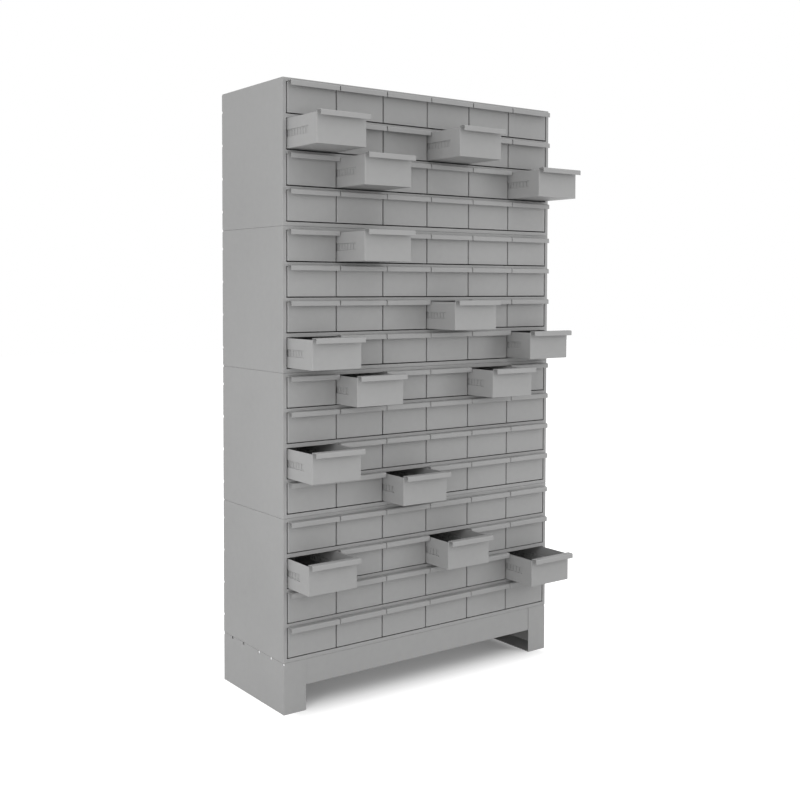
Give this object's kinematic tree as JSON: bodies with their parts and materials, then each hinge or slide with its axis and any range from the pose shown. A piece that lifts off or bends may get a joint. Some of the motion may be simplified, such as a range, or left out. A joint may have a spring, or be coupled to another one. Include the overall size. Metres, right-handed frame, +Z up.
{
  "type": "parts bin cabinet",
  "caption": "Tall stack of grey sheet-steel cabinets with a grid of small pull-out drawers, on a low base stand with corner legs.",
  "frame": {"origin": "on the floor, below the middle of the whole object's box with the drawers as they stand", "axes": "+X to the right across the drawer fronts, +Y from the fronts to the back, +Z up; drawers open towards -Y"},
  "size_m": [0.8668, 0.4624, 1.5366],
  "materials": {
    "grey_paint": "satin baked enamel",
    "bare_steel": "zinc plated"
  },
  "bodies": {
    "cabinet": {"case_shell_1": "grey_paint", "case_shell_2": "grey_paint", "case_shell_3": "grey_paint", "case_shell_4": "grey_paint", "back_panel_1": "grey_paint", "back_panel_2": "grey_paint", "back_panel_3": "grey_paint", "back_panel_4": "grey_paint", "cross_rails_1": "grey_paint", "cross_rails_2": "grey_paint", "cross_rails_3": "grey_paint", "cross_rails_4": "grey_paint", "partitions_1": "grey_paint", "partitions_2": "grey_paint", "partitions_3": "grey_paint", "partitions_4": "grey_paint", "drawer_runners_1": "grey_paint", "drawer_runners_2": "grey_paint", "drawer_runners_3": "grey_paint", "drawer_runners_4": "grey_paint", "base_side_left": "grey_paint", "base_side_right": "grey_paint", "base_apron_front": "grey_paint", "base_apron_rear": "grey_paint", "joining_bolts": "bare_steel", "joining_nuts": "bare_steel"},
    "drawer_row_02_column_1": {"drawer_row_02_column_1": "grey_paint"},
    "drawer_row_02_column_4": {"drawer_row_02_column_4": "grey_paint"},
    "drawer_row_03_column_2": {"drawer_row_03_column_2": "grey_paint"},
    "drawer_row_03_column_6": {"drawer_row_03_column_6": "grey_paint"},
    "drawer_row_05_column_2": {"drawer_row_05_column_2": "grey_paint"},
    "drawer_row_07_column_4": {"drawer_row_07_column_4": "grey_paint"},
    "drawer_row_08_column_1": {"drawer_row_08_column_1": "grey_paint"},
    "drawer_row_08_column_6": {"drawer_row_08_column_6": "grey_paint"},
    "drawer_row_09_column_2": {"drawer_row_09_column_2": "grey_paint"},
    "drawer_row_09_column_5": {"drawer_row_09_column_5": "grey_paint"},
    "drawer_row_11_column_1": {"drawer_row_11_column_1": "grey_paint"},
    "drawer_row_12_column_3": {"drawer_row_12_column_3": "grey_paint"},
    "drawer_row_14_column_1": {"drawer_row_14_column_1": "grey_paint"},
    "drawer_row_14_column_4": {"drawer_row_14_column_4": "grey_paint"},
    "drawer_row_15_column_6": {"drawer_row_15_column_6": "grey_paint"},
    "closed_drawers_row_01": {"closed_drawers_row_01": "grey_paint"},
    "closed_drawers_row_02": {"closed_drawers_row_02": "grey_paint"},
    "closed_drawers_row_03": {"closed_drawers_row_03": "grey_paint"},
    "closed_drawers_row_04": {"closed_drawers_row_04": "grey_paint"},
    "closed_drawers_row_05": {"closed_drawers_row_05": "grey_paint"},
    "closed_drawers_row_06": {"closed_drawers_row_06": "grey_paint"},
    "closed_drawers_row_07": {"closed_drawers_row_07": "grey_paint"},
    "closed_drawers_row_08": {"closed_drawers_row_08": "grey_paint"},
    "closed_drawers_row_09": {"closed_drawers_row_09": "grey_paint"},
    "closed_drawers_row_10": {"closed_drawers_row_10": "grey_paint"},
    "closed_drawers_row_11": {"closed_drawers_row_11": "grey_paint"},
    "closed_drawers_row_12": {"closed_drawers_row_12": "grey_paint"},
    "closed_drawers_row_13": {"closed_drawers_row_13": "grey_paint"},
    "closed_drawers_row_14": {"closed_drawers_row_14": "grey_paint"},
    "closed_drawers_row_15": {"closed_drawers_row_15": "grey_paint"},
    "closed_drawers_row_16": {"closed_drawers_row_16": "grey_paint"}
  },
  "joints": [
    {"name": "drawer_row_02_column_1_slide", "type": "slide", "parent": "cabinet", "child": "drawer_row_02_column_1", "axis": [0, -1, 0], "range_m": [-0.132, 0.068]},
    {"name": "drawer_row_02_column_4_slide", "type": "slide", "parent": "cabinet", "child": "drawer_row_02_column_4", "axis": [0, -1, 0], "range_m": [-0.132, 0.068]},
    {"name": "drawer_row_03_column_2_slide", "type": "slide", "parent": "cabinet", "child": "drawer_row_03_column_2", "axis": [0, -1, 0], "range_m": [-0.121, 0.079]},
    {"name": "drawer_row_03_column_6_slide", "type": "slide", "parent": "cabinet", "child": "drawer_row_03_column_6", "axis": [0, -1, 0], "range_m": [-0.121, 0.079]},
    {"name": "drawer_row_05_column_2_slide", "type": "slide", "parent": "cabinet", "child": "drawer_row_05_column_2", "axis": [0, -1, 0], "range_m": [-0.121, 0.079]},
    {"name": "drawer_row_07_column_4_slide", "type": "slide", "parent": "cabinet", "child": "drawer_row_07_column_4", "axis": [0, -1, 0], "range_m": [-0.116, 0.084]},
    {"name": "drawer_row_08_column_1_slide", "type": "slide", "parent": "cabinet", "child": "drawer_row_08_column_1", "axis": [0, -1, 0], "range_m": [-0.112, 0.088]},
    {"name": "drawer_row_08_column_6_slide", "type": "slide", "parent": "cabinet", "child": "drawer_row_08_column_6", "axis": [0, -1, 0], "range_m": [-0.092, 0.108]},
    {"name": "drawer_row_09_column_2_slide", "type": "slide", "parent": "cabinet", "child": "drawer_row_09_column_2", "axis": [0, -1, 0], "range_m": [-0.09, 0.11]},
    {"name": "drawer_row_09_column_5_slide", "type": "slide", "parent": "cabinet", "child": "drawer_row_09_column_5", "axis": [0, -1, 0], "range_m": [-0.101, 0.099]},
    {"name": "drawer_row_11_column_1_slide", "type": "slide", "parent": "cabinet", "child": "drawer_row_11_column_1", "axis": [0, -1, 0], "range_m": [-0.111, 0.089]},
    {"name": "drawer_row_12_column_3_slide", "type": "slide", "parent": "cabinet", "child": "drawer_row_12_column_3", "axis": [0, -1, 0], "range_m": [-0.088, 0.112]},
    {"name": "drawer_row_14_column_1_slide", "type": "slide", "parent": "cabinet", "child": "drawer_row_14_column_1", "axis": [0, -1, 0], "range_m": [-0.094, 0.106]},
    {"name": "drawer_row_14_column_4_slide", "type": "slide", "parent": "cabinet", "child": "drawer_row_14_column_4", "axis": [0, -1, 0], "range_m": [-0.092, 0.108]},
    {"name": "drawer_row_15_column_6_slide", "type": "slide", "parent": "cabinet", "child": "drawer_row_15_column_6", "axis": [0, -1, 0], "range_m": [-0.104, 0.096]},
    {"name": "closed_drawers_row_01_slide", "type": "slide", "parent": "cabinet", "child": "closed_drawers_row_01", "axis": [0, -1, 0], "range_m": [0, 0.2]},
    {"name": "closed_drawers_row_02_slide", "type": "slide", "parent": "cabinet", "child": "closed_drawers_row_02", "axis": [0, -1, 0], "range_m": [0, 0.2]},
    {"name": "closed_drawers_row_03_slide", "type": "slide", "parent": "cabinet", "child": "closed_drawers_row_03", "axis": [0, -1, 0], "range_m": [0, 0.2]},
    {"name": "closed_drawers_row_04_slide", "type": "slide", "parent": "cabinet", "child": "closed_drawers_row_04", "axis": [0, -1, 0], "range_m": [0, 0.2]},
    {"name": "closed_drawers_row_05_slide", "type": "slide", "parent": "cabinet", "child": "closed_drawers_row_05", "axis": [0, -1, 0], "range_m": [0, 0.2]},
    {"name": "closed_drawers_row_06_slide", "type": "slide", "parent": "cabinet", "child": "closed_drawers_row_06", "axis": [0, -1, 0], "range_m": [0, 0.2]},
    {"name": "closed_drawers_row_07_slide", "type": "slide", "parent": "cabinet", "child": "closed_drawers_row_07", "axis": [0, -1, 0], "range_m": [0, 0.2]},
    {"name": "closed_drawers_row_08_slide", "type": "slide", "parent": "cabinet", "child": "closed_drawers_row_08", "axis": [0, -1, 0], "range_m": [0, 0.2]},
    {"name": "closed_drawers_row_09_slide", "type": "slide", "parent": "cabinet", "child": "closed_drawers_row_09", "axis": [0, -1, 0], "range_m": [0, 0.2]},
    {"name": "closed_drawers_row_10_slide", "type": "slide", "parent": "cabinet", "child": "closed_drawers_row_10", "axis": [0, -1, 0], "range_m": [0, 0.2]},
    {"name": "closed_drawers_row_11_slide", "type": "slide", "parent": "cabinet", "child": "closed_drawers_row_11", "axis": [0, -1, 0], "range_m": [0, 0.2]},
    {"name": "closed_drawers_row_12_slide", "type": "slide", "parent": "cabinet", "child": "closed_drawers_row_12", "axis": [0, -1, 0], "range_m": [0, 0.2]},
    {"name": "closed_drawers_row_13_slide", "type": "slide", "parent": "cabinet", "child": "closed_drawers_row_13", "axis": [0, -1, 0], "range_m": [0, 0.2]},
    {"name": "closed_drawers_row_14_slide", "type": "slide", "parent": "cabinet", "child": "closed_drawers_row_14", "axis": [0, -1, 0], "range_m": [0, 0.2]},
    {"name": "closed_drawers_row_15_slide", "type": "slide", "parent": "cabinet", "child": "closed_drawers_row_15", "axis": [0, -1, 0], "range_m": [0, 0.2]},
    {"name": "closed_drawers_row_16_slide", "type": "slide", "parent": "cabinet", "child": "closed_drawers_row_16", "axis": [0, -1, 0], "range_m": [0, 0.2]}
  ]
}
